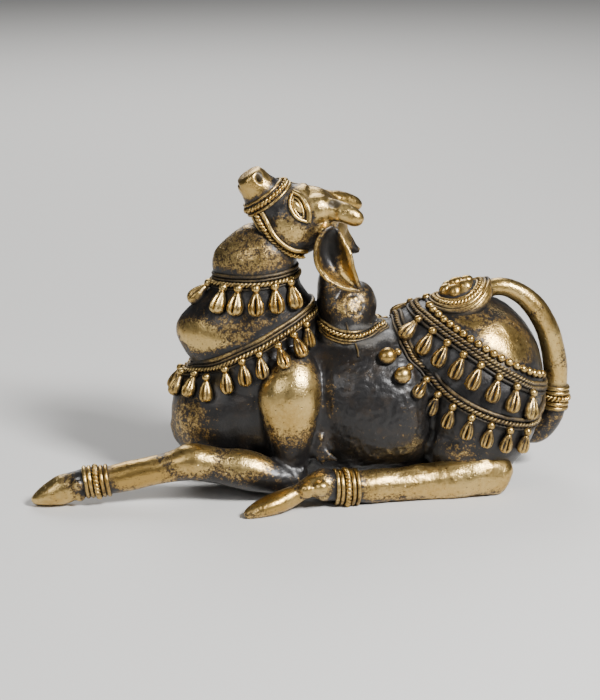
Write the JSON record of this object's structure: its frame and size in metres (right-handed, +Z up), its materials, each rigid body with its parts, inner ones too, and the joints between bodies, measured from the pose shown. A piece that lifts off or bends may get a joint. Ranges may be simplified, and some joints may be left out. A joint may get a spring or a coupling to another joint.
{
  "type": "nandi bull figure",
  "caption": "Small cast brass figure of a reclining temple bull, head thrown back, dressed with garlands of threads and bells; one piece that rests on its belly and folded legs.",
  "frame": {"origin": "centre of the figure's footprint box, on the surface that it rests on", "axes": "+X from the stretched fore hoof to the tail, so the bull looks along -X; +Y to the bull's right side; +Z up"},
  "size_m": [0.1518, 0.0722, 0.0889],
  "materials": {
    "cast_brass": "old cast brass, rubbed to gold on the raised forms, with a dark grey-brown patina in the hollows and on the barrel"
  },
  "bodies": {
    "root": {"nandi_bull": "cast_brass"}
  },
  "joints": []
}
